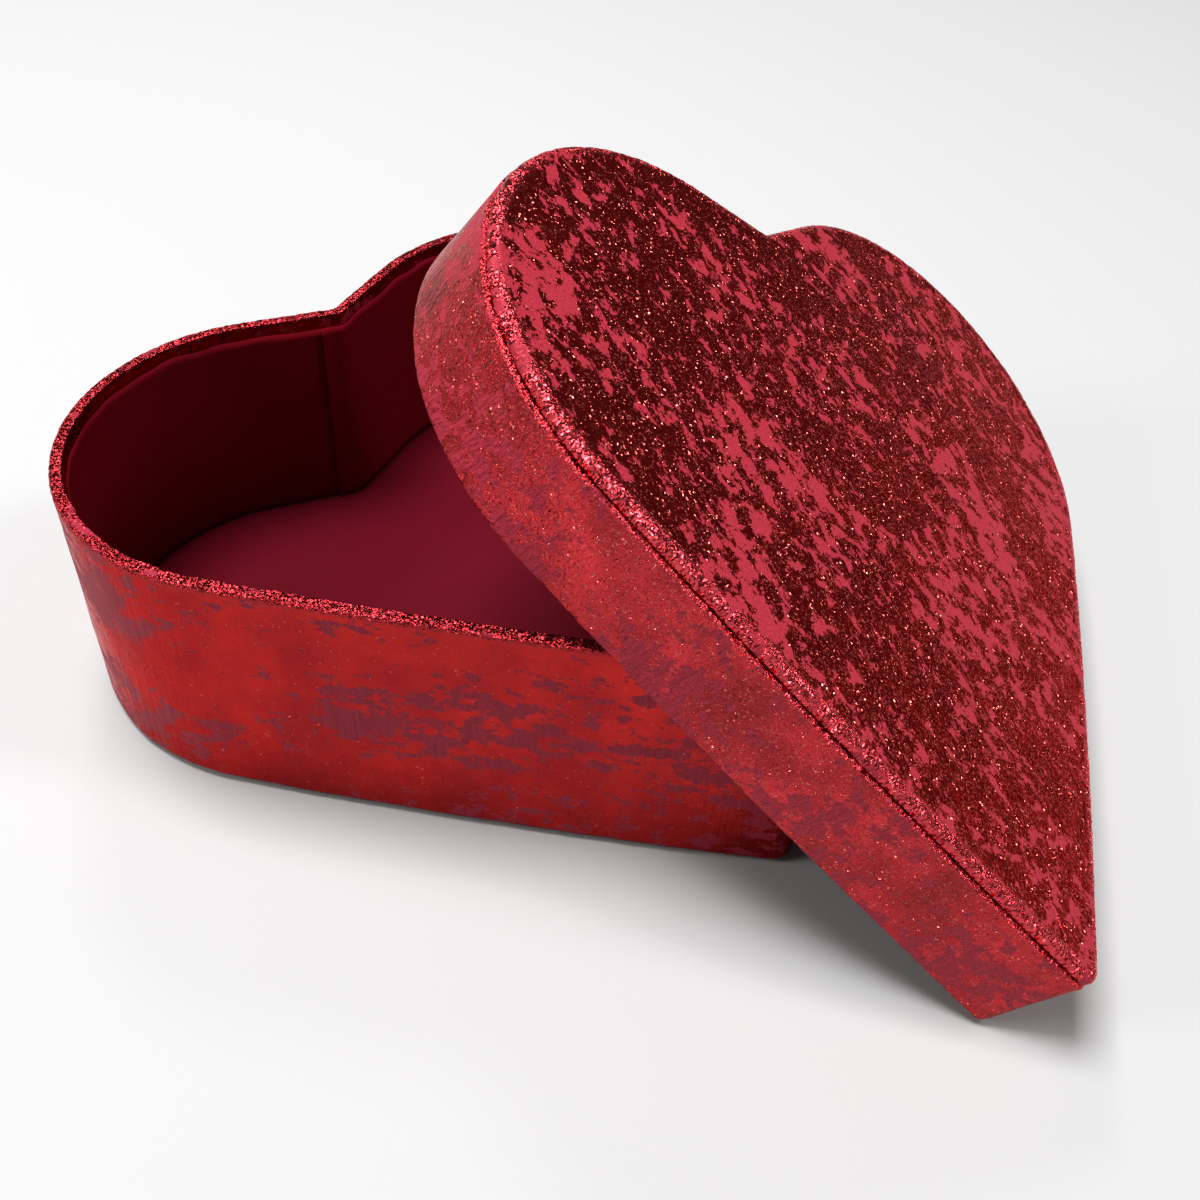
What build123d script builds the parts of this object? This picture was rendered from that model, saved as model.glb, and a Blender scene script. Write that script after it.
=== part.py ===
from build123d import *
import math
import os

# A heart-shaped rigid gift box with a lift-off lid that leans on the box.
# Millimetres, +Z up. The origin is on the underside of the box, in the middle of its
# length and width. The tip of the heart points along -Y and the cleft is at +Y.

# ---- overall sizes, over the foil ----
box_width = 140.0        # across both lobes
box_length = 140.5       # from the crowns of the lobes to where the sides would meet
wall_height = 48.5       # table to rim
lid_depth = 22.0         # lower edge of the skirt to the top face

# ---- outline of the heart ----
lobe_radius = 39.0       # each lobe is one round arc
side_bow_radius = 1160.0 # the long sides are very slightly bowed
cleft_slope = 22.0       # degrees that each flank of the cleft falls towards the middle
tip_radius = 3.7         # crease at the tip of the box, over the foil
lid_tip_radius = 2.8     # crease at the tip of the lid's skirt
cleft_radius = 0.8
least_radius = 0.5       # no corner of a board or a sheet is sharper than this

# ---- sheet materials ----
board = 2.0              # grey chipboard
foil = 0.25              # foil paper with its glue
liner = 0.25             # plain lining paper with its glue
stay = 0.25              # gummed paper strip behind a corner
sheet = 0.25             # plain paper under the bottom

# ---- edges and turn-ins ----
rim_round = 0.9          # rounding of a foil-covered rim
foot_round = 1.8         # rounding of the bottom edge
bead_round = 1.4         # rounding of the upper edge of the lid's top panel
under_round = 0.8        # rounding of the panel's lower edge
turn_in = 10.0           # foil turned over a rim and down behind the lining
turn_under = 12.0        # foil turned under a flat panel
liner_inset = 2.5        # rim to the edge of the lining
sheet_inset = 3.0        # bottom edge to the edge of the bottom sheet
stay_reach = 8.0         # half width of a corner stay
panel_inset = 0.4        # the lid's top panel stands in from the face of the skirt
liner_gap = 0.2          # lining of a panel to the lining of the wall around it
floor_liner_gap = 0.3    # floor lining to the wall lining

# ---- how the lid fits and how it leans ----
lid_clearance = 1.7      # inside of the skirt to the outside of the box
rest_gap = 0.3           # between the leaning lid and the box
table_gap = 0.05         # under the lowest point of the leaning lid
lean_azimuth = 33.3      # degrees, direction of the level axis that the lid tilts about
lid_spin = -16.3         # degrees, turn of the lid about its own upright axis
tip_forward = 39.0       # the lid's tip stands this far in front of the tip of the box
tip_aside = 0.5          # and this far to the right of it

# ---- sizes that follow ----
rim = foil + board + foil            # wall thickness at a rim
wall = rim + liner                   # wall thickness with its lining
lobe_x = box_width / 2 - lobe_radius
lobe_y = box_length / 2 - lobe_radius
tip_y = -box_length / 2
skirt_height = lid_depth - rim       # the top panel lies on the skirt's upper edge
lid_face = -(lid_clearance + wall)   # depth of the skirt's outer face in the box's outline


def side_angle():
    """Degrees below level at which a lobe's arc runs into its bowed side."""
    reach = side_bow_radius - lobe_radius
    drop = lobe_y - tip_y
    span = math.hypot(lobe_x, drop)
    bow = (side_bow_radius**2 - reach**2 - span**2) / (2 * reach)
    return math.degrees(math.asin(bow / span) + math.atan2(lobe_x, drop))


def polar(centre_x, centre_y, radius, degrees):
    angle = math.radians(degrees)
    return centre_x + radius * math.cos(angle), centre_y + radius * math.sin(angle)


def tip_crease(depth):
    """Radius at the tip. Depths outside the face of the box belong to the lid."""
    face, radius = (0, tip_radius) if depth >= 0 else (lid_face, lid_tip_radius)
    return max(radius - (depth - face), least_radius)


def heart(depth):
    """The heart's outline as a face, moved inward by depth (outward when negative)."""
    lobe_r = lobe_radius - depth
    bow_r = side_bow_radius - depth
    lobe_end = -side_angle()
    bow_x, bow_y = polar(lobe_x, lobe_y, lobe_radius - side_bow_radius, lobe_end)
    tip_angle = -math.degrees(math.acos(-bow_x / bow_r))
    lobe_start = 90 + cleft_slope
    start = polar(lobe_x, lobe_y, lobe_r, lobe_start)
    cleft = (0, start[1] - start[0] * math.tan(math.radians(cleft_slope)))
    crown = polar(lobe_x, lobe_y, lobe_r, (lobe_start + lobe_end) / 2)
    end = polar(lobe_x, lobe_y, lobe_r, lobe_end)
    middle = polar(bow_x, bow_y, bow_r, (lobe_end + tip_angle) / 2)
    tip = (0, polar(bow_x, bow_y, bow_r, tip_angle)[1])
    half = Line(cleft, start) + ThreePointArc(start, crown, end) + ThreePointArc(end, middle, tip)
    outline = make_face(half + mirror(half, about=Plane.YZ))
    corners = outline.vertices().filter_by(lambda v: abs(v.X) < 0.001).sort_by(Axis.Y)
    outline = fillet(corners[0], tip_crease(depth))
    corners = outline.vertices().filter_by(lambda v: abs(v.X) < 0.001).sort_by(Axis.Y)
    return fillet(corners[-1], max(cleft_radius + depth, least_radius))


def plate(depth, low, high):
    """A heart-shaped plate from height low to height high."""
    return extrude(Pos(0, 0, low) * heart(depth), high - low)


def ring(outer, inner, low, high):
    """A heart-shaped hoop between two depths and two heights."""
    return plate(outer, low, high) - plate(inner, low, high)


def edges_at(shape, height):
    return shape.edges().filter_by(lambda e: abs(e.center().Z - height) < 0.001 and e.length > 0.01)


def rounded_plate(depth, low, high, low_round, high_round):
    """A plate whose lower and upper edges are rounded."""
    body = plate(depth, low, high)
    body = fillet(edges_at(body, low), low_round)
    return fillet(edges_at(body, high), high_round)


def hoop(outer, inner, low, high, low_round, high_round):
    """A hoop rounded outside along its lower and upper edges."""
    return rounded_plate(outer, low, high, low_round, high_round) - plate(inner, low, high)


def right_half(shape):
    reach = box_width + box_length
    return shape & Pos(reach / 2, 0, 0) * Box(reach, 2 * reach, 2 * reach)


def left_half(shape):
    return mirror(right_half(shape), about=Plane.YZ)


def corner_stays(outer, inner, low, high):
    """Strips behind the tip joint and the cleft joint of a hoop."""
    strips = ring(outer, inner, low, high)
    reach = box_length
    tip_strip = strips & Pos(0, tip_y, 0) * Box(2 * stay_reach, reach, 2 * reach)
    cleft_strip = strips & Pos(0, tip_y + box_length, 0) * Box(2 * stay_reach, reach, 2 * reach)
    return tip_strip, cleft_strip


# ---- the box ----
board_foot = sheet + foil
floor_top = board_foot + board
liner_top = wall_height - liner_inset
turn_low = wall_height - turn_in

base_boards = hoop(foil, foil + board, board_foot, wall_height - foil, foot_round - foil, rim_round - foil)
base_foil = hoop(0, rim, sheet, wall_height, foot_round, rim_round)
base_foil += ring(foot_round, turn_under, sheet, board_foot)
base_foil -= plate(turn_under, sheet, board_foot)
base_foil -= base_boards
base_foil -= ring(foil + board, rim, board_foot, turn_low)
base_lining = ring(rim, wall, floor_top, liner_top)
base_tip_stay, base_cleft_stay = corner_stays(foil + board, foil + board + stay, floor_top, turn_low)

base = {
    "base_wall_board_left": left_half(base_boards),
    "base_wall_board_right": right_half(base_boards),
    "base_floor_board": plate(foil + board, board_foot, floor_top),
    "base_tip_stay": base_tip_stay,
    "base_cleft_stay": base_cleft_stay,
    "base_wall_wrap": base_foil,
    "base_bottom_sheet": plate(sheet_inset, 0, sheet),
    "base_wall_liner_left": left_half(base_lining),
    "base_wall_liner_right": right_half(base_lining),
    "base_floor_liner": plate(wall + floor_liner_gap, floor_top, floor_top + liner),
}

# ---- the lid, upright, with the lower edge of its skirt at height 0 ----
skirt_inside = lid_face + foil + board
skirt_lined = lid_face + wall
panel_face = lid_face + panel_inset
panel_low = skirt_height + foil
panel_high = lid_depth - foil

skirt_boards = hoop(lid_face + foil, skirt_inside, foil, skirt_height - foil,
                    rim_round - foil, rim_round - foil)
skirt_foil = hoop(lid_face, lid_face + rim, 0, skirt_height, rim_round, rim_round)
skirt_foil -= skirt_boards
skirt_foil -= ring(skirt_inside, lid_face + rim, turn_in, skirt_height)
skirt_lining = ring(lid_face + rim, skirt_lined, liner_inset, skirt_height)
lid_tip_stay, lid_cleft_stay = corner_stays(skirt_inside, skirt_inside + stay, turn_in, skirt_height)

panel_board = rounded_plate(panel_face + foil, panel_low, panel_high, under_round - foil, bead_round - foil)
panel_foil = rounded_plate(panel_face, skirt_height, lid_depth, under_round, bead_round)
panel_foil -= plate(panel_face + turn_under, skirt_height, panel_low)
panel_foil -= panel_board

upright_lid = {
    "lid_skirt_board_left": left_half(skirt_boards),
    "lid_skirt_board_right": right_half(skirt_boards),
    "lid_top_board": panel_board,
    "lid_tip_stay": lid_tip_stay,
    "lid_cleft_stay": lid_cleft_stay,
    "lid_skirt_wrap": skirt_foil,
    "lid_top_wrap": panel_foil,
    "lid_skirt_liner_left": left_half(skirt_lining),
    "lid_skirt_liner_right": right_half(skirt_lining),
    "lid_top_liner": plate(skirt_lined + liner_gap, skirt_height - liner, skirt_height),
}

# ---- leaning the lid on the box ----
lid_shell = hoop(lid_face, skirt_lined, 0, skirt_height, rim_round, rim_round)
lid_shell += plate(panel_face, skirt_height - liner, lid_depth)
base_shell = hoop(0, wall, 0, wall_height, foot_round, rim_round)
lid_tip_y = lid_shell.bounding_box().min.Y


def lean(tilt):
    """Where the lid stands when it is tilted, with the tip of its skirt on the table."""
    level_axis = Axis((0, 0, 0), polar(0, 0, 1, lean_azimuth) + (0,))
    turned = Pos(0, -lid_tip_y, 0)
    turned = Rot(0, 0, lid_spin) * turned
    quarter = Rot(0, 0, lean_azimuth) * Rot(tilt, 0, 0) * Rot(0, 0, -lean_azimuth)
    stood = Pos(tip_aside, tip_y - tip_forward, 0) * quarter * turned
    low = (stood * lid_shell).bounding_box().min.Z
    return Pos(0, 0, table_gap - low) * stood


def least_clear_tilt():
    """The smallest tilt, in degrees, at which the lid stands clear of the box."""
    low = 5.0
    high = 85.0
    while high - low > 0.01:
        tilt = (low + high) / 2
        if (lean(tilt) * lid_shell).distance_to(base_shell) < rest_gap:
            low = tilt
        else:
            high = tilt
    return high


lid_tilt = least_clear_tilt()
lid_place = lean(lid_tilt)
lid = {name: lid_place * shape for name, shape in upright_lid.items()}

# ---- writing the pieces ----
os.makedirs("parts", exist_ok=True)
for name, shape in {**base, **lid}.items():
    export_step(shape, f"parts/{name}.step")
print("lid tilt", round(lid_tilt, 2), "lid frame", lid_place)
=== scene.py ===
import math
import bpy
import numpy as np
from mathutils import Matrix, Vector


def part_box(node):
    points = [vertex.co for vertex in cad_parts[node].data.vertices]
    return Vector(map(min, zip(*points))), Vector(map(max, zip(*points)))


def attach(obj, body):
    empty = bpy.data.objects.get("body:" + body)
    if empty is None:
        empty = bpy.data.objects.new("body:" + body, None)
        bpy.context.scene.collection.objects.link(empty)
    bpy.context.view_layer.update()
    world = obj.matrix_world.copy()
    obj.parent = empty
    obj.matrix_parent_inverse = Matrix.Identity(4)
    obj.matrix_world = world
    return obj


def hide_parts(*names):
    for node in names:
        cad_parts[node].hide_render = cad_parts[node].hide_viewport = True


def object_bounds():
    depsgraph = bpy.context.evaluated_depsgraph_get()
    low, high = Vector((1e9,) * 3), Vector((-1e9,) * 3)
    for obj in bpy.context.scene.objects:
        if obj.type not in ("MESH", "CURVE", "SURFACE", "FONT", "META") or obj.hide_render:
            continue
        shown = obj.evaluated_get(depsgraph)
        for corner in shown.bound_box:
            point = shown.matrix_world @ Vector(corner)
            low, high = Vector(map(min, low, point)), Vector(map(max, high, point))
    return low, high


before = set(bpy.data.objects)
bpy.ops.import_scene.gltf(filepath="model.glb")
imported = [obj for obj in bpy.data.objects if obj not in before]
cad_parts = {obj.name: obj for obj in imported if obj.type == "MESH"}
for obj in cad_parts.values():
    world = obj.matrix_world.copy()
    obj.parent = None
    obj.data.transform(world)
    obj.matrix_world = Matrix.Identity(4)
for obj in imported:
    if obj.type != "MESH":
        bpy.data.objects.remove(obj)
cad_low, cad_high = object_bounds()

# A heart-shaped gift box covered in worn red foil paper, open, its lid leaning on it.
# Everything is in metres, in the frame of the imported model. The papers that show are modelled
# here as thin closed skins over the boards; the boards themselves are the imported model's.

MM = 0.001

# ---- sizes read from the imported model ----
wrap_low, wrap_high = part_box("base_wall_wrap")
_, sheet_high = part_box("base_bottom_sheet")
_, liner_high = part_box("base_wall_liner_left")
floor_low, floor_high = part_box("base_floor_liner")
box_width = wrap_high.x - wrap_low.x
box_length = 2 * wrap_high.y          # before the tip is rounded
wall_height = wrap_high.z
foot_low = sheet_high.z               # lower edge of the wall's foil
liner_top = liner_high.z
floor_top = floor_low.z               # chipboard floor, under its lining
floor_sheet_top = floor_high.z

# ---- shape of the outline, the same as in the part ----
lobe_radius = 39.0 * MM
side_bow_radius = 1160.0 * MM
cleft_slope = math.radians(22.0)
tip_radius = 3.7 * MM
lid_tip_radius = 2.8 * MM
cleft_radius = 0.8 * MM
lid_cleft_radius = 0.6 * MM

# ---- paper and board ----
board = 2.0 * MM
foil = 0.25 * MM
liner = 0.25 * MM
paper = 0.05 * MM            # thickness of the modelled paper skins
deepest = 0.195 * MM         # the most that relief goes below a paper's ideal face
rim = foil + board + foil
wall = rim + liner
rim_round = 0.9 * MM         # outer edge of a foil-covered rim
rim_inner_round = 0.35 * MM  # its inner edge, small enough to clear the board's corner
foot_round = 1.8 * MM        # bottom edge of the box
foot_reach = 3.6 * MM        # how far the wall's foil shows under the bottom
bead_round = 1.4 * MM        # upper edge of the lid's panel
under_round = 0.8 * MM       # lower edge of the lid's panel
under_reach = 3.0 * MM       # how far the panel's foil is modelled under it
turn_in = 10.0 * MM          # foil turned over a rim
panel_inset = 0.4 * MM       # the panel stands in from the face of the skirt
bead_reach = 7.5 * MM        # from the panel's edge to where its plain face begins
face_drop = 0.10 * MM        # that face lies this far under the top of the bead

# ---- how finely the paper is meshed ----
outline_points = 640         # round the wall and the skirt
panel_points = 600
plate_points = 360           # round the floor's lining
plate_rings = 40
cap_rings = 46               # from the panel's edge to its middle
arc_points = 160
liner_rows = 26
turn_share = 9 * MM          # distance along the outline that one radian of turning counts as


def node_points(node):
    """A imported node's vertices."""
    return np.array([v.co[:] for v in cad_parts[node].data.vertices])


def node_centre(node):
    """Centre of a node's surface, weighted by area."""
    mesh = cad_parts[node].data
    areas = np.array([p.area for p in mesh.polygons])
    centres = np.array([p.center[:] for p in mesh.polygons])
    return (centres * areas[:, None]).sum(0) / areas.sum()


def lid_axes():
    """The lid's own frame: heart's width, heart's length and outward normal, and its origin."""
    plate = node_points("lid_top_liner")
    normal = np.linalg.svd(plate - plate.mean(0), full_matrices=False)[2][2]
    normal *= math.copysign(1, normal[2])
    left = node_centre("lid_skirt_board_left")
    right = node_centre("lid_skirt_board_right")
    across = right - left
    across -= normal * across.dot(normal)
    across /= np.linalg.norm(across)
    along = np.cross(normal, across)
    skirt = node_points("lid_skirt_wrap")
    panel = node_points("lid_top_wrap")
    width = (skirt @ across).max() - (skirt @ across).min()
    reach = (width - box_width) / 2
    low = (skirt @ normal).min()
    origin = across * ((left + right) / 2).dot(across)
    origin += along * ((skirt @ along).max() - box_length / 2 - reach)
    origin += normal * low
    matrix = Matrix.Identity(4)
    for column, axis in enumerate((across, along, normal, origin)):
        for row in range(3):
            matrix[row][column] = axis[row]
    return matrix, reach, (panel @ normal).max() - low


lid_matrix, lid_reach, lid_depth = lid_axes()
skirt_height = lid_depth - rim


# ---------------------------------------------------------------- outline and relief

def arc(centre, radius, start, end, inward=False):
    """Points and outward normals along an arc, from angle start to end."""
    angles = np.linspace(start, end, arc_points)
    spokes = np.stack([np.cos(angles), np.sin(angles)], 1)
    return np.array(centre) + radius * spokes, -spokes if inward else spokes


def read_at(values, distance, at):
    """Pairs of values given at distances along a line, read off at other distances."""
    return np.stack([np.interp(at, distance, values[:, k]) for k in (0, 1)], 1)


def heart(reach, tip_round, cleft_round, count):
    """Points, normals and distances round the outline, moved out by reach; closer together where
    it turns. It starts in the cleft, runs by the right lobe to the tip and back by the left."""
    lobe = np.array([box_width / 2 - lobe_radius, box_length / 2 - lobe_radius])
    tip_y = -box_length / 2
    span = math.hypot(lobe[0], lobe[1] - tip_y)
    inner = side_bow_radius - lobe_radius
    bow_sine = (side_bow_radius**2 - inner**2 - span**2) / (2 * inner * span)
    lobe_end = -(math.asin(bow_sine) + math.atan2(lobe[0], lobe[1] - tip_y))
    bow = lobe - inner * np.array([math.cos(lobe_end), math.sin(lobe_end)])
    bow_r = side_bow_radius + reach
    tip = np.array([0, bow[1] - math.sqrt((bow_r - tip_round)**2 - bow[0]**2)])
    side_end = math.atan2(tip[1] - bow[1], -bow[0])
    flank = math.pi / 2 + cleft_slope
    lobe_r = lobe_radius + reach
    start = lobe + lobe_r * np.array([math.cos(flank), math.sin(flank)])
    cleft_y = start[1] - start[0] * math.tan(cleft_slope)
    cleft = (0, cleft_y + cleft_round / math.cos(cleft_slope))
    pieces = [
        arc(cleft, cleft_round, -math.pi / 2, -math.pi / 2 + cleft_slope, inward=True),
        arc(lobe, lobe_r, flank, lobe_end),
        arc(bow, bow_r, lobe_end, side_end),
        arc(tip, tip_round, side_end, -math.pi / 2),
    ]
    points = np.vstack([p for p, n in pieces])
    normals = np.vstack([n for p, n in pieces])
    points = np.vstack([points, points[::-1] * [-1, 1]])
    normals = np.vstack([normals, normals[::-1] * [-1, 1]])
    steps = np.linalg.norm(np.diff(points, axis=0), axis=1)
    distance = np.concatenate([[0], np.cumsum(steps)])
    turns = np.linalg.norm(np.diff(normals, axis=0), axis=1)
    measure = np.concatenate([[0], np.cumsum(steps + turn_share * turns)])
    at = np.interp(np.linspace(0, measure[-1], count + 1), measure, distance)
    points = read_at(points, distance, at)
    normals = read_at(normals, distance, at)
    return points, normals / np.linalg.norm(normals, axis=1)[:, None], at


def waves(x, y, size_x, size_y, seed, count=22):
    """A smooth random surface of about unit height, with bumps of the given sizes."""
    rng = np.random.default_rng(seed)
    total = np.zeros(np.broadcast(x, y).shape)
    for _ in range(count):
        angle = rng.uniform(0, 2 * math.pi)
        rate = rng.uniform(0.55, 1.5)
        phase = rng.uniform(0, 2 * math.pi)
        run = x * math.cos(angle) / size_x + y * math.sin(angle) / size_y
        total += np.cos(2 * math.pi * rate * run + phase)
    return total * math.sqrt(1 / count)


def bump_at(x, centre, width):
    """1 at the centre, falling off to both sides."""
    return np.exp(-((x - centre) / width) ** 2)


def step_up(x, start, end):
    """0 up to start and 1 from end on, with a smooth rise between."""
    t = np.clip((x - start) / (end - start), 0, 1)
    return t * t * (3 - 2 * t)


# ---------------------------------------------------------------- meshes

def new_object(name, vertices, faces, uvs, matrix=None, edge=None):
    """An object from vertices, faces and their corners' paper coordinates, its faces outward.
    Edge is how much each vertex belongs to a crinkled edge, from 0 to 1."""
    mesh = bpy.data.meshes.new(name)
    mesh.from_pydata([tuple(v) for v in vertices], [], faces)
    layer = mesh.uv_layers.new(name="paper")
    flat = np.array([c for face in uvs for c in face], dtype=np.float32)
    layer.data.foreach_set("uv", flat.ravel())
    if edge is not None:
        mesh.attributes.new("edge", "FLOAT", "POINT").data.foreach_set("value", edge)
    corners = np.array([vertices[face[k]] for face in faces for k in (0, 1, 2)]).reshape(-1, 3, 3)
    fourth = np.array([vertices[face[k]] for face in faces if len(face) == 4 for k in (0, 2, 3)])
    corners = np.vstack([corners, fourth.reshape(-1, 3, 3)])
    if np.einsum("ij,ij->i", corners[:, 0], np.cross(corners[:, 1], corners[:, 2])).sum() < 0:
        mesh.flip_normals()
    if matrix is not None:
        mesh.transform(matrix)
    mesh.polygons.foreach_set("use_smooth", [True] * len(mesh.polygons))
    mesh.update()
    piece = bpy.data.objects.new(name, mesh)
    bpy.context.scene.collection.objects.link(piece)
    return piece


def path_frame(path):
    """A path of (inset, height) points, its normals to the right of travel and its run."""
    path = np.array(path)
    tangent = np.gradient(path, axis=0)
    tangent /= np.linalg.norm(tangent, axis=1)[:, None]
    normal = np.stack([tangent[:, 1], -tangent[:, 0]], 1)
    steps = np.linalg.norm(np.diff(path, axis=0), axis=1)
    return path, normal, np.concatenate([[0], np.cumsum(steps)])


def quarter(centre_inset, centre_height, radius, start, end, count=9):
    """Points of an arc in the section; angle 0 points outward and 90 degrees upward."""
    angles = np.radians(np.linspace(start, end, count))
    return [(centre_inset - radius * math.cos(a), centre_height + radius * math.sin(a))
            for a in angles]


def straight(start, end, count):
    """Points between two section points, without the ends."""
    shares = np.linspace(0, 1, count + 2)[1:-1]
    return [tuple(np.array(start) * (1 - t) + np.array(end) * t) for t in shares]


def grid_faces(rows, columns, first, flip=False):
    """Quads between neighbouring rows of vertices; a row closes on itself."""
    faces = []
    for j in range(rows - 1):
        for i in range(columns):
            k = (i + 1) % columns
            a, b = first + j * columns, first + (j + 1) * columns
            face = (a + i, a + k, b + k, b + i)
            faces.append(face[::-1] if flip else face)
    return faces


def grid_uvs(rows_v, columns_u, flip=False):
    """Paper coordinates for the corners of the faces that grid_faces makes."""
    uvs = []
    for j in range(len(rows_v) - 1):
        for i in range(len(columns_u) - 1):
            u0, u1, v0, v1 = columns_u[i], columns_u[i + 1], rows_v[j], rows_v[j + 1]
            corner = [(u0, v0), (u1, v0), (u1, v1), (u0, v1)]
            uvs.append(corner[::-1] if flip else corner)
    return uvs


def skin_rows(curve, path, relief, thickness):
    """Vertices of a swept skin, row by row: the section path pushed in by relief and thickness."""
    points, normals, distance = curve
    path, path_normal, run = path_frame(path)
    s, v = np.meshgrid(distance[:-1], run)
    path_inset = path[:, 0][:, None] + 0 * s
    path_height = path[:, 1][:, None] + 0 * s
    depth = np.clip(relief(s, v, path_inset, path_height), 0, deepest) + thickness
    inset = path[:, 0][:, None] + depth * path_normal[:, 0][:, None]
    height = path[:, 1][:, None] + depth * path_normal[:, 1][:, None]
    x = points[None, :-1, 0] - inset * normals[None, :-1, 0]
    y = points[None, :-1, 1] - inset * normals[None, :-1, 1]
    return np.stack([x, y, height], 2).reshape(-1, 3), run


def swept_skin(name, curve, path, relief, crinkled, matrix=None):
    """A closed paper shell: its outer face follows path round curve, and its inner face lies one
    paper below. Crinkled gives how crinkled the foil is at a point (inset, height) of path."""
    count = len(curve[2]) - 1
    outer, run = skin_rows(curve, path, relief, 0)
    keep = sorted(set(range(0, len(path), 4)) | {len(path) - 1})    # the inner face is coarser
    inner_all, _ = skin_rows(curve, path, relief, paper)
    inner = inner_all.reshape(len(path), count, 3)[keep].reshape(-1, 3)
    vertices = np.vstack([outer, inner])
    faces = grid_faces(len(path), count, 0)
    uvs = grid_uvs(run, curve[2])
    faces += grid_faces(len(keep), count, len(outer), flip=True)
    uvs += grid_uvs(run[keep], curve[2], flip=True)
    for outer_row, inner_row, flip in ((0, 0, True), (len(path) - 1, len(keep) - 1, False)):
        for i in range(count):
            k = (i + 1) % count
            a, b = outer_row * count, len(outer) + inner_row * count
            face = (a + i, a + k, b + k, b + i)
            faces.append(face[::-1] if flip else face)
            u0, u1, v0, v1 = curve[2][i], curve[2][i + 1], run[outer_row], run[outer_row] + paper
            corner = [(u0, v0), (u1, v0), (u1, v1), (u0, v1)]
            uvs.append(corner[::-1] if flip else corner)
    edge = np.repeat([crinkled(*point) for point in path], count)
    edge = np.concatenate([edge, np.zeros(len(inner))])
    return new_object(name, vertices, faces, uvs, matrix, edge)


def sheet_faces(levels, count, per):
    """Faces of a closed sheet: two sides of levels rings and a middle point each, per vertices
    to a side, joined along their first rings."""
    faces = grid_faces(levels, count, 0) + grid_faces(levels, count, per, flip=True)
    last = (levels - 1) * count
    for i in range(count):
        k = (i + 1) % count
        faces.append((last + i, last + k, per - 1))
        faces.append((per + last + k, per + last + i, 2 * per - 1))
        faces.append((k, i, per + i, per + k))
    return faces


# ---------------------------------------------------------------- the box

base_curve = heart(0, tip_radius, cleft_radius, outline_points)
base_half = base_curve[2][-1] / 2


def left_lobe(s, total):
    """1 round the left lobe, 0 along the sides, for distances s of a closed outline."""
    return step_up(s, total * 0.66, total * 0.74) * (1 - step_up(s, total * 0.965, total * 0.985))


def right_lobe(s, total):
    """The same round the right lobe."""
    return left_lobe(total - s, total)


def pleats(s, spots, width):
    """Narrow folds across an edge at the given distances."""
    total = np.zeros_like(s)
    for spot, size in spots:
        total += size * bump_at(s, spot, width)
    return total


def lobe_spots(total, spacing, seed):
    """Unevenly spaced places of folds round both lobes, with their sizes."""
    rng = np.random.default_rng(seed)
    spots = []
    for start, end in ((0.03, 0.30), (0.70, 0.97)):
        at = start * total
        while at < end * total:
            spots.append((at, rng.uniform(0.3, 1.0)))
            at += spacing * rng.uniform(0.5, 1.6)
    return spots


base_spots = lobe_spots(base_curve[2][-1], 6.5 * MM, 11)


def base_relief(s, v, inset, height):
    """How far the wall's foil lies below its ideal face."""
    total = base_curve[2][-1]
    lobes = left_lobe(s, total) + right_lobe(s, total)
    swell = 0.10 * MM * (1.2 + waves(s, v, 38 * MM, 60 * MM, 1))
    dents = 0.035 * MM * (1 + waves(s, v, 9 * MM, 16 * MM, 2))
    near_rim = step_up(height, wall_height - 3 * MM, wall_height - 0.8 * MM)
    over = step_up(inset, 0.2 * MM, 0.9 * MM) * near_rim
    crinkle = 0.10 * MM * np.abs(waves(s, v, 2.3 * MM, 3.0 * MM, 3)) * near_rim
    fine = 0.05 * MM * np.abs(waves(s, v, 0.9 * MM, 2.0 * MM, 4)) * near_rim
    folds = -0.22 * MM * pleats(s + 0.35 * (inset - 1.2 * MM), base_spots, 0.55 * MM) * lobes * over
    sag = 0.14 * MM * (1 + waves(s, 0 * s, 14 * MM, 1, 5)) * over
    return np.clip(swell + dents, 0, None) * (1 - near_rim) + crinkle + fine + folds + sag


def build_base_wrap():
    """The wall's foil, from under the bottom edge, up the wall, over the rim and down inside."""
    path = [(foot_reach, foot_low)] + straight((foot_reach, foot_low), (foot_round, foot_low), 3)
    path += quarter(foot_round, foot_low + foot_round, foot_round, -90, 0, 9)
    path += straight((0, foot_low + foot_round), (0, wall_height - rim_round), 52)
    path += quarter(rim_round, wall_height - rim_round, rim_round, 0, 90, 9)
    inner = rim - rim_inner_round
    path += straight((rim_round, wall_height), (inner, wall_height), 3)
    path += quarter(inner, wall_height - rim_inner_round, rim_inner_round, 90, 180, 8)
    path += straight((rim, wall_height - rim_inner_round), (rim, wall_height - turn_in), 9)
    path.append((rim, wall_height - turn_in))

    def crinkled(inset, height):
        return step_up(height, wall_height - 1.6 * MM, wall_height - 0.6 * MM)

    return swept_skin("base_foil", base_curve, path, base_relief, crinkled)


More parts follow.
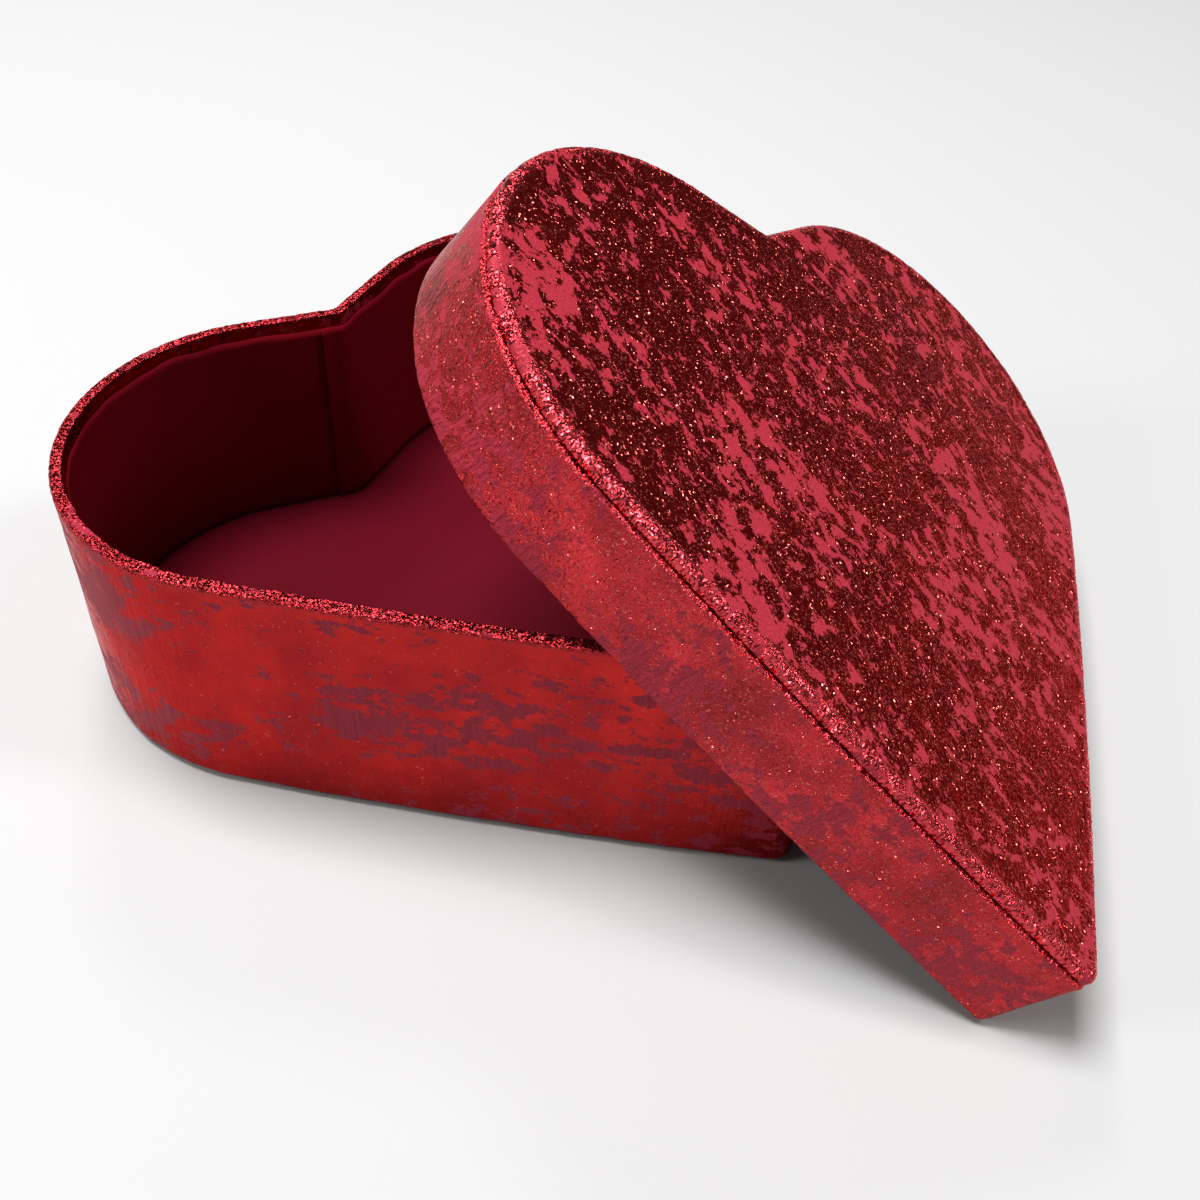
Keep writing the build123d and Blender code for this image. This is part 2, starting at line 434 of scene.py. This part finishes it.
def build_wall_liner(name, start, end, top_seed, proud, seed):
    """Lining paper on the inside of the wall from distance start to end along the outline. One
    that stands proud laps over the other, with a raised edge and a crease beside the cleft."""
    points, normals, distance = base_curve
    total = distance[-1]
    places = np.concatenate([distance[:-1] - total, distance])
    within = (places > start + 0.1 * MM) & (places < end - 0.1 * MM)
    at = np.concatenate([[start], places[within], [end]])
    count = len(at)
    points = read_at(points, distance, at % total)
    normals = read_at(normals, distance, at % total)
    shares = np.linspace(0, 1, liner_rows)[:, None]
    top = liner_top - 0.22 * MM * (1 + waves(at, 0 * at, 11 * MM, 1, top_seed))
    z = floor_sheet_top + shares * (top - floor_sheet_top)[None, :]
    wavy = 0.04 * MM * (1 + waves(at[None, :] + 0 * z, z, 22 * MM, 30 * MM, seed))
    lap_edge = bump_at(at, start, 1.1 * MM)
    crease = bump_at(at, -0.7 * MM, 0.35 * MM)
    lift = proud + wavy + proud * (2.6 * lap_edge - 0.9 * crease)[None, :]
    sides = []
    for extra in (0, -paper):
        inset = wall - 0.13 * MM + lift + extra
        x = points[None, :, 0] - inset * normals[None, :, 0]
        y = points[None, :, 1] - inset * normals[None, :, 1]
        sides.append(np.stack([x, y, z], 2).reshape(-1, 3))
    per = liner_rows * count
    faces = []
    uvs = []

    def quad(a, b, c, d, corner):
        faces.append((a, b, c, d))
        uvs.append(corner)

    for j in range(liner_rows - 1):
        for i in range(count - 1):
            a = j * count + i
            u0, u1, v0, v1 = at[i], at[i + 1], z[j, i], z[j + 1, i]
            corner = [(u0, v0), (u0, v1), (u1, v1), (u1, v0)]
            quad(a, a + count, a + count + 1, a + 1, corner)
            quad(per + a, per + a + 1, per + a + count + 1, per + a + count, corner)
    for j in range(liner_rows - 1):
        a, b = j * count, j * count + count - 1
        quad(a, per + a, per + a + count, a + count, [(at[0], z[j, 0])] * 4)
        quad(b, b + count, per + b + count, per + b, [(at[-1], z[j, -1])] * 4)
    for i in range(count - 1):
        a, b = i, (liner_rows - 1) * count + i
        quad(a, a + 1, per + a + 1, per + a, [(at[i], z[0, i])] * 4)
        quad(b, per + b, per + b + 1, b + 1, [(at[i], z[-1, i])] * 4)
    return new_object(name, np.vstack(sides), faces, uvs)


def heart_plate(name, reach, tip_round, low, thickness, relief):
    """A heart-shaped sheet of paper with a little relief in its face."""
    ring = heart(reach, tip_round, cleft_radius, plate_points)[0][:-1]
    shares = np.linspace(1, 0, plate_rings + 1)[1:-1] ** 0.9
    places = np.vstack([ring] + [ring * share for share in shares] + [np.zeros((1, 2))])
    sides = [np.column_stack([places, low + thickness + extra - relief(places)])
             for extra in (0, -thickness)]
    vertices = np.vstack(sides)
    faces = sheet_faces(plate_rings, plate_points, len(places))
    uvs = [[(vertices[c][0], vertices[c][1]) for c in face] for face in faces]
    return new_object(name, vertices, faces, uvs)


def floor_relief(xy):
    """Slow swell of the floor's lining."""
    return np.clip(0.03 * MM * (1 + waves(xy[:, 0], xy[:, 1], 35 * MM, 50 * MM, 21)), 0, deepest)


# ---------------------------------------------------------------- the lid

skirt_curve = heart(lid_reach, lid_tip_radius, lid_cleft_radius, outline_points)
panel_curve = heart(lid_reach - panel_inset, lid_tip_radius - panel_inset, lid_cleft_radius,
                    panel_points)


def skirt_relief(s, v, inset, height):
    """How far the skirt's foil lies below its ideal face."""
    swell = 0.10 * MM * (1.2 + waves(s, v, 30 * MM, 40 * MM, 31))
    dents = 0.03 * MM * (1 + waves(s, v, 8 * MM, 12 * MM, 32))
    top = step_up(height, skirt_height - 2.2 * MM, skirt_height - 0.5 * MM)
    crinkle = 0.10 * MM * np.abs(waves(s, v, 2.6 * MM, 2.2 * MM, 33)) * top
    fine = 0.05 * MM * np.abs(waves(s, v, 0.9 * MM, 1.6 * MM, 34)) * top
    hem = 1 - step_up(height, 0.4 * MM, 2.0 * MM)
    ragged = 0.08 * MM * np.abs(waves(s, v, 3.0 * MM, 6 * MM, 35)) * hem
    return np.clip(swell + dents, 0, None) * (1 - top) + crinkle + fine + ragged


def build_skirt_wrap():
    """The skirt's foil, from inside, round the lower edge, up the skirt and over its top edge."""
    inner = rim - rim_inner_round
    path = [(rim, turn_in)] + straight((rim, turn_in), (rim, rim_inner_round), 8)
    path += quarter(inner, rim_inner_round, rim_inner_round, 180, 270, 7)
    path += straight((inner, 0), (rim_round, 0), 2)
    path += quarter(rim_round, rim_round, rim_round, -90, 0, 9)
    path += straight((0, rim_round), (0, skirt_height - rim_round), 34)
    path += quarter(rim_round, skirt_height - rim_round, rim_round, 0, 90, 11)
    path += straight((rim_round, skirt_height), (rim, skirt_height), 3)
    path.append((rim, skirt_height))

    def crinkled(inset, height):
        return step_up(height, skirt_height - 1.0 * MM, skirt_height - 0.3 * MM)

    return swept_skin("lid_skirt_foil", skirt_curve, path, skirt_relief, crinkled, lid_matrix)


def gathers(s, across, total):
    """Long creases that run along the edge round the left lobe, where the foil was gathered."""
    slant = across + 0.05 * (s - total * 0.8)
    ridges = np.abs(waves(s, slant, 26 * MM, 1.3 * MM, 41))
    return (1 - np.clip(ridges * 1.3, 0, 1)) * (0.35 + 0.65 * left_lobe(s, total))


def panel_relief(s, v, inset, height):
    """How far the panel's foil lies below its ideal face; the bead along the edge stands proud."""
    total = panel_curve[2][-1]
    on_bead = step_up(height, lid_depth - bead_round, lid_depth - 0.3 * MM)
    past_bead = step_up(inset, 1.6 * MM, 3.2 * MM)
    sink = face_drop * past_bead
    creases = 0.16 * MM * gathers(s, inset + height - lid_depth, total)
    creases *= 1 - step_up(inset, 3 * MM, 7 * MM)
    crinkle = 0.09 * MM * np.abs(waves(s, v, 2.2 * MM, 1.8 * MM, 42)) * (1 - 0.8 * past_bead)
    fine = 0.05 * MM * np.abs(waves(s, v, 0.8 * MM, 1.2 * MM, 43)) * (1 - 0.8 * past_bead)
    return sink + (creases + crinkle + fine) * (0.3 + 0.7 * on_bead)


def face_relief(xy):
    """Slow swell of the panel's face, away from its edge."""
    swell = 0.04 * MM * (1 + waves(xy[:, 0], xy[:, 1], 40 * MM, 40 * MM, 44))
    return np.clip(swell, 0, 0.09 * MM)


def build_top_wrap():
    """The panel's foil: a skin swept round its edge, closed by a face that runs to its middle."""
    count = panel_points
    low, high = skirt_height, lid_depth
    path = [(under_reach, low)] + straight((under_reach, low), (under_round, low), 2)
    path += quarter(under_round, low + under_round, under_round, -90, 0, 6)
    path += straight((0, low + under_round), (0, high - bead_round), 1)
    path += quarter(bead_round, high - bead_round, bead_round, 0, 90, 12)
    path += straight((bead_round, high), (bead_reach, high), 12)
    path.append((bead_reach, high))
    shares = np.linspace(1, 0, cap_rings + 1)[1:-1]

    def side(thickness):
        skin, _ = skin_rows(panel_curve, path, panel_relief, thickness)
        ring = skin[-count:]
        face_height = high - face_drop - thickness
        levels = [skin]
        for share in shares:
            xy = ring[:, :2] * share
            blend = step_up(np.full(count, 1 - share), 0, 0.12)
            z = ring[:, 2] * (1 - blend) + (face_height - face_relief(xy)) * blend
            levels.append(np.column_stack([xy, z]))
        middle = np.zeros((1, 2))
        levels.append(np.column_stack([middle, face_height - face_relief(middle)]))
        return np.vstack(levels)

    vertices = np.vstack([side(0), side(paper)])
    faces = sheet_faces(len(path) + len(shares), count, len(vertices) // 2)
    uvs = [[(vertices[c][0], vertices[c][1]) for c in face] for face in faces]
    inset, height = np.array(path).T
    edge = np.where(height > low + 0.1 * MM, 1 - step_up(inset, 1.2 * MM, 2.6 * MM), 0.0)
    edge = np.concatenate([np.repeat(edge, count), np.zeros(len(vertices) - len(path) * count)])
    return new_object("lid_top_foil", vertices, faces, uvs, lid_matrix, edge)


# ---------------------------------------------------------------- materials

class Graph:
    """A material's nodes, with short ways to add the usual ones."""

    def __init__(self, name):
        self.material = bpy.data.materials.new(name)
        self.material.use_nodes = True
        self.nodes = self.material.node_tree.nodes
        self.links = self.material.node_tree.links
        self.shader = self.nodes["Principled BSDF"]

    def add(self, kind, inputs=None, **settings):
        node = self.nodes.new(kind)
        for key, value in settings.items():
            setattr(node, key, value)
        for key, value in (inputs or {}).items():
            self.put(node.inputs[key], value)
        return node

    def put(self, socket, value):
        if isinstance(value, bpy.types.NodeSocket):
            self.links.new(value, socket)
        else:
            socket.default_value = value

    def math(self, operation, a, b=0.0, c=0.0, clamp=False):
        node = self.add("ShaderNodeMath", operation=operation, use_clamp=clamp)
        for socket, value in zip(node.inputs, (a, b, c)):
            self.put(socket, value)
        return node.outputs[0]

    def coordinates(self, kind, scale=(1, 1, 1), angle=0.0):
        """Texture coordinates, in metres, turned by an angle and then scaled."""
        source = self.add("ShaderNodeTexCoord").outputs[kind]
        turned = self.add("ShaderNodeMapping", {"Vector": source, "Rotation": (0, 0, angle)})
        turned = turned.outputs[0]
        return self.add("ShaderNodeMapping", {"Vector": turned, "Scale": scale}).outputs[0]

    def noise(self, vector, scale, detail=2.0, roughness=0.5, distortion=0.0):
        inputs = {"Vector": vector, "Scale": scale, "Detail": detail, "Roughness": roughness,
                  "Distortion": distortion}
        return self.add("ShaderNodeTexNoise", inputs).outputs[0]

    def cells(self, vector, scale):
        return self.add("ShaderNodeTexVoronoi", {"Vector": vector, "Scale": scale})

    def between(self, value, low, high, to_low=0.0, to_high=1.0):
        """Maps low to high onto to_low to to_high, and no further."""
        inputs = {"Value": value, "From Min": low, "From Max": high, "To Min": to_low,
                  "To Max": to_high}
        return self.add("ShaderNodeMapRange", inputs, clamp=True).outputs[0]

    def mix(self, share, a, b):
        node = self.add("ShaderNodeMix", data_type="RGBA")
        self.put(node.inputs[0], share)
        self.put(node.inputs[6], a)
        self.put(node.inputs[7], b)
        return node.outputs[2]

    def facet(self, cells, tilt, normal):
        """Tilts the normal by a random amount in every cell, as in glitter."""
        def vector(operation, inputs):
            return self.add("ShaderNodeVectorMath", inputs, operation=operation).outputs[0]

        centred = vector("SUBTRACT", {0: cells, 1: (0.5, 0.5, 0.5)})
        scaled = vector("SCALE", {0: centred, "Scale": tilt})
        return vector("NORMALIZE", {0: vector("ADD", {0: scaled, 1: normal})})

    def bump(self, height, strength, distance, normal=None):
        inputs = {"Height": height, "Strength": strength, "Distance": distance}
        if normal is not None:
            inputs["Normal"] = normal
        return self.add("ShaderNodeBump", inputs).outputs[0]

    def finish(self, **sockets):
        for key, value in sockets.items():
            self.put(self.shader.inputs[key.replace("_", " ")], value)
        return self.material


# colours
ORANGE_FOIL = (0.46, 0.014, 0.011, 1)
PINK_FOIL = (0.68, 0.028, 0.038, 1)
DEEP_FOIL = (0.30, 0.007, 0.010, 1)
RIM_FOIL = (0.34, 0.009, 0.016, 1)
BEAD_FOIL = (0.64, 0.036, 0.052, 1)
BARE = (0.46, 0.030, 0.048, 1)
# painted shade: the same bare paper as on the lid, darkened for the wall's lower light
BARE_SHADED = (0.32, 0.018, 0.040, 1)
BARE_DARK = (0.20, 0.010, 0.022, 1)
BARE_PINK = (0.42, 0.026, 0.046, 1)
# painted glint: a paler, whiter red for foil grains that stand up and catch the light
PAINTED_GLINT = (0.56, 0.095, 0.080, 1)
# painted shade: near black, for the shade inside small pits in the foil
PAINTED_PIT_SHADE = (0.05, 0.002, 0.004, 1)
LINING = (0.095, 0.0018, 0.0080, 1)
# painted light: the walls' lining is a lighter copy of the floor's lining, standing in for light
# the walls do not get
WALL_LINING_PAINTED_LIGHT = (0.150, 0.0018, 0.0075, 1)

# sizes of the foil's details
GRAIN = 0.27 * MM
GRIT = 0.32 * MM
FACET = 0.40 * MM
SPECK = 0.55 * MM
CRUMPLE = 0.8 * MM
CRINKLE = 0.9 * MM
WORN_PATCH = 2.5 * MM
PIT_SPACING = 5.0 * MM
SOFT_WAVE = 6 * MM
TONE_PATCH = 14 * MM


def foil_paper(name, foil_tone, edge_tone, bare_tone, stretch, slant, cover, fleck, cluster,
               gathered, wrinkle, glitter, loose, rough, varnish, edge_varnish):
    """Worn metallic foil paper, rubbed through to matt pink in ragged flecks.

    The flecks, about fleck in size, are stretched and slanted on the paper, cover about the
    share cover, and are gathered in clusters of about size cluster. Wrinkle is the depth, width
    and length of the fine wrinkles. Glitter is the strength of the fine crumple, and loose the
    share of the foil's grains that stand up and sparkle. Varnish is the coat on the plain foil,
    and edge_varnish what a crinkled edge adds to it."""
    g = Graph(name)
    plain = g.coordinates("UV")
    edge = g.add("ShaderNodeAttribute", attribute_name="edge").outputs["Fac"]

    # where the foil is rubbed through: ragged noise above a limit, more of it in the clusters
    cluster_stretch = (stretch[0] ** 2, stretch[1] ** 2, 1)
    clouds = g.noise(g.coordinates("UV", cluster_stretch, slant), 1 / cluster, 2.0, 0.5)
    ragged = g.noise(g.coordinates("UV", stretch, slant), 1 / fleck, 7.0, 0.70, 0.2)
    specks = g.noise(plain, 1 / SPECK, 2.0, 0.6)
    level = g.math("MULTIPLY_ADD", g.math("SUBTRACT", clouds, 0.5), gathered, ragged)
    level = g.math("MULTIPLY_ADD", g.math("SUBTRACT", specks, 0.5), 0.12, level)
    level = g.math("MULTIPLY_ADD", edge, -0.05, level)
    limit = 0.5 + 0.32 * (0.5 - cover)
    bare = g.between(level, limit - 0.006, limit + 0.008)
    covered = g.math("SUBTRACT", 1.0, bare)

    # grains of foil, some of which stand up; these are tilted and also get a painted glint colour
    glints = g.cells(plain, 1 / GRAIN).outputs["Color"]
    chance = g.add("ShaderNodeTexWhiteNoise", {"Vector": glints}).outputs["Value"]
    stands = g.between(chance, 1 - loose, 1.01 - loose)

    # colour
    tone = g.noise(plain, 1 / TONE_PATCH, 3.0, 0.55)
    foil_colour = g.mix(g.between(tone, 0.35, 0.68), DEEP_FOIL, foil_tone)
    foil_colour = g.mix(edge, foil_colour, edge_tone)
    # painted glint: grains that stand up, away from the crinkled edge, are tinted a paler, whiter
    # red
    painted_glints = g.math("MULTIPLY", stands, g.math("SUBTRACT", 1.0, edge))
    foil_colour = g.mix(painted_glints, foil_colour, PAINTED_GLINT)
    grit = g.noise(plain, 1 / GRIT, 2.0, 0.7)
    bare_colour = g.mix(g.between(grit, 0.3, 0.7), BARE_DARK, bare_tone)
    # painted shade: near-black dots a few millimetres apart stand for the shade in small pits
    pits = g.cells(plain, 1 / PIT_SPACING).outputs["Distance"]
    pit_shade = g.between(pits, 0.03, 0.06, 0.7, 0.0)
    colour = g.mix(pit_shade, g.mix(bare, foil_colour, bare_colour), PAINTED_PIT_SHADE)

    # relief
    depth, width, length = wrinkle
    wrinkles = g.noise(g.coordinates("UV", (1 / width, 1 / length, 1 / width)), 1.0, 3.0, 0.6)
    crumple = g.noise(plain, 1 / CRUMPLE, 4.0, 0.65, 0.4)
    crinkle = g.noise(plain, 1 / CRINKLE, 4.0, 0.7, 0.5)
    facets = g.cells(plain, 1 / FACET).outputs["Distance"]
    normal = g.bump(g.noise(plain, 1 / SOFT_WAVE, 2.0, 0.5), 0.35, 0.35 * MM)
    normal = g.bump(bare, 0.35, -0.03 * MM, normal)
    normal = g.bump(wrinkles, 1.0, depth, normal)
    normal = g.bump(crumple, 0.5 * glitter, 0.10 * MM, normal)
    normal = g.bump(facets, 0.3 * glitter, 0.05 * MM, normal)
    normal = g.bump(crinkle, g.math("MULTIPLY", edge, 0.8), 0.30 * MM, normal)
    tilt = g.math("MULTIPLY_ADD", stands, 1.0, 0.12 * glitter)
    tilt = g.math("MAXIMUM", g.math("MULTIPLY", edge, 1.15), tilt)
    tilt = g.math("MULTIPLY", tilt, g.math("SUBTRACT", 1.0, g.math("MULTIPLY", bare, 0.8)))
    normal = g.facet(glints, tilt, normal)

    # gloss
    worn = g.noise(plain, 1 / WORN_PATCH, 3.0, 0.6)
    worn = g.between(worn, 0.3, 0.7, rough - 0.06, rough + 0.08)
    worn = g.math("MULTIPLY_ADD", edge, -0.09, worn)
    roughness = g.math("MULTIPLY_ADD", covered, worn, g.math("MULTIPLY", bare, 0.60))
    metallic = g.math("SUBTRACT", 1.0, g.math("MULTIPLY", bare, 0.93))
    shine = g.math("MULTIPLY_ADD", edge, edge_varnish, varnish)
    shine = g.math("MULTIPLY", shine, g.math("SUBTRACT", 1.0, g.math("MULTIPLY", bare, 0.8)))
    return g.finish(Base_Color=colour, Metallic=metallic, Roughness=roughness, Normal=normal,
                    Specular_IOR_Level=0.22, Specular_Tint=(1.0, 0.35, 0.35, 1),
                    Coat_Roughness=0.15, Coat_Weight=shine, Coat_Normal=normal)


def plain_paper(name, colour, darker, fibre):
    """Matt paper with fibres, slow stains and a little tooth."""
    g = Graph(name)
    place = g.coordinates("Object")
    stain = g.noise(place, 1 / (28 * MM), 4.0, 0.6)
    stretched = g.coordinates("Object", (1, 0.3, 0.3), 0.6)
    fibres = g.noise(stretched, 1 / (0.7 * MM), 4.0, 0.7, 0.8)
    tooth = g.noise(place, 1 / (0.35 * MM), 3.0, 0.6)
    light = tuple(min(1, c * 1.6) for c in colour[:3]) + (1,)
    shade = g.mix(g.between(stain, 0.3, 0.72), darker, colour)
    shade = g.mix(g.math("MULTIPLY", g.between(fibres, 0.55, 0.8), fibre), shade, light)
    normal = g.bump(fibres, 0.25, 0.06 * MM)
    normal = g.bump(tooth, 0.25, 0.04 * MM, normal)
    rough = g.between(stain, 0.3, 0.7, 0.62, 0.78)
    return g.finish(Base_Color=shade, Roughness=rough, Normal=normal, Specular_IOR_Level=0.04)


# painted shade: the wall's bare flecks use the darker copy of the bare paper
wall_foil = foil_paper(
    "wall_foil", ORANGE_FOIL, RIM_FOIL, BARE_SHADED, stretch=(0.8, 1.25, 1), slant=0.05,
    cover=0.36, fleck=4.4 * MM, cluster=26 * MM, gathered=0.6,
    wrinkle=(0.34 * MM, 1.3 * MM, 20 * MM), glitter=0.9, loose=0.012, rough=0.22,
    varnish=0.18, edge_varnish=0.15)
skirt_foil = foil_paper(
    "skirt_foil", PINK_FOIL, BEAD_FOIL, BARE_PINK, stretch=(0.9, 1.05, 1), slant=0.35,
    cover=0.38, fleck=3.6 * MM, cluster=20 * MM, gathered=0.6,
    wrinkle=(0.80 * MM, 0.85 * MM, 2.6 * MM), glitter=2.4, loose=0.08, rough=0.18,
    varnish=0.34, edge_varnish=0.05)
top_foil = foil_paper(
    "top_foil", ORANGE_FOIL, BEAD_FOIL, BARE, stretch=(1.15, 0.85, 1), slant=-0.40,
    cover=0.35, fleck=3.6 * MM, cluster=26 * MM, gathered=0.45,
    wrinkle=(0.05 * MM, 0.6 * MM, 14 * MM), glitter=1.4, loose=0.20, rough=0.16,
    varnish=0.15, edge_varnish=0.35)
# painted light: the walls' lining paper and its darker tone are lighter than the floor's, though it
# is the same paper
wall_lining_painted_light = plain_paper("wall_lining_painted_light_paper", WALL_LINING_PAINTED_LIGHT, (0.125, 0.0014, 0.0062, 1), 0.25)
lining = plain_paper("lining_paper", LINING, (0.082, 0.0016, 0.0070, 1), 0.25)
chipboard = plain_paper("chipboard", (0.42, 0.38, 0.33, 1), (0.30, 0.27, 0.23, 1), 0.6)
kraft = plain_paper("kraft_tape", (0.45, 0.29, 0.16, 1), (0.34, 0.21, 0.11, 1), 0.5)
bottom_paper = plain_paper("bottom_paper", (0.20, 0.010, 0.028, 1), (0.14, 0.006, 0.018, 1), 0.3)


def dress(piece, material, body, slot, *replaced):
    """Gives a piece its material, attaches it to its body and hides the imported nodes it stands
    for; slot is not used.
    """
    piece.data.materials.clear()
    piece.data.materials.append(material)
    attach(piece, body)
    if replaced:
        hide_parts(*replaced)


dress(build_base_wrap(), wall_foil, "base", "foil_paper", "base_wall_wrap")
right_liner = build_wall_liner("base_lining_right", start=-3.2 * MM, end=base_half, top_seed=51,
                               proud=0.20 * MM, seed=52)
left_liner = build_wall_liner("base_lining_left", start=base_half + 0.02 * MM,
                              end=2 * base_half - 0.6 * MM, top_seed=53, proud=0, seed=54)
dress(right_liner, wall_lining_painted_light, "base", "lining_paper", "base_wall_liner_right")
dress(left_liner, wall_lining_painted_light, "base", "lining_paper", "base_wall_liner_left")
floor_sheet = heart_plate("base_floor_lining", reach=-(wall - 0.05 * MM), tip_round=0.9 * MM,
                          low=floor_top, thickness=liner, relief=floor_relief)
dress(floor_sheet, lining, "base", "lining_paper", "base_floor_liner")
dress(build_skirt_wrap(), skirt_foil, "lid", "foil_paper", "lid_skirt_wrap")
dress(build_top_wrap(), top_foil, "lid", "foil_paper", "lid_top_wrap")

for name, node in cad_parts.items():
    if node.hide_render:
        continue
    material = chipboard
    if "stay" in name:
        material = kraft
    elif "bottom_sheet" in name:
        material = bottom_paper
    elif "liner" in name:
        material = lining
    if not node.data.materials:
        node.data.materials.append(material)
    for slot in node.material_slots:
        slot.material = material

# ---------------------------------------------------------------- floor, lights and camera

floor_reach = 3.0
floor_height = cad_low.z - 0.1 * MM
corners = [(-floor_reach, -floor_reach), (floor_reach, -floor_reach), (floor_reach, floor_reach),
           (-floor_reach, floor_reach)]
floor_mesh = bpy.data.meshes.new("floor")
floor_mesh.from_pydata([(x, y, floor_height) for x, y in corners], [], [(0, 1, 2, 3)])
floor = bpy.data.objects.new("floor", floor_mesh)
bpy.context.scene.collection.objects.link(floor)
pale = Graph("floor")
floor_mesh.materials.append(pale.finish(Base_Color=(0.42, 0.42, 0.42, 1), Roughness=0.9,
                                        Specular_IOR_Level=0.1))


def softbox(name, direction, distance, size, power, aim=(0.02, -0.02, 0.03)):
    """A square area light that faces the object from a direction."""
    light = bpy.data.lights.new(name, "AREA")
    light.shape = "SQUARE"
    light.size = size
    light.energy = power
    lamp = bpy.data.objects.new(name, light)
    away = Vector(direction).normalized()
    lamp.location = Vector(aim) + away * distance
    lamp.rotation_euler = away.to_track_quat("Z", "Y").to_euler()
    bpy.context.scene.collection.objects.link(lamp)


softbox("above", (-0.12, 0.20, 0.97), distance=1.2, size=0.5, power=25)
softbox("behind", (0.35, 0.60, 0.72), distance=2.3, size=0.4, power=10)
softbox("right", (0.45, -0.50, 0.75), distance=2.2, size=0.4, power=16)
softbox("left", (-0.75, 0.40, 0.50), distance=1.0, size=0.3, power=3.2)

world = bpy.data.worlds.new("studio")
world.use_nodes = True
background = world.node_tree.nodes["Background"]
background.inputs["Color"].default_value = (1, 1, 1, 1)
background.inputs["Strength"].default_value = 0.14
bpy.context.scene.world = world
bpy.context.scene.view_settings.view_transform = "Standard"

# the photo's camera, from a fit to the outlines of the box and the lid
view_place = Vector((-0.11991, -0.13555, 0.18971))
view_right = Vector((0.73124, -0.68026, 0.05029))
view_down = Vector((-0.44958, -0.53609, -0.71449))
camera_data = bpy.data.cameras.new("camera")
camera_data.sensor_width = 36.0
camera_data.lens = 39.02
camera_data.clip_start = 0.01
camera = bpy.data.objects.new("camera", camera_data)
turn = Matrix((view_right, -view_down, view_right.cross(-view_down))).transposed()
camera.matrix_world = Matrix.Translation(view_place) @ turn.to_4x4()
bpy.context.scene.collection.objects.link(camera)
bpy.context.scene.camera = camera

bpy.context.view_layer.update()
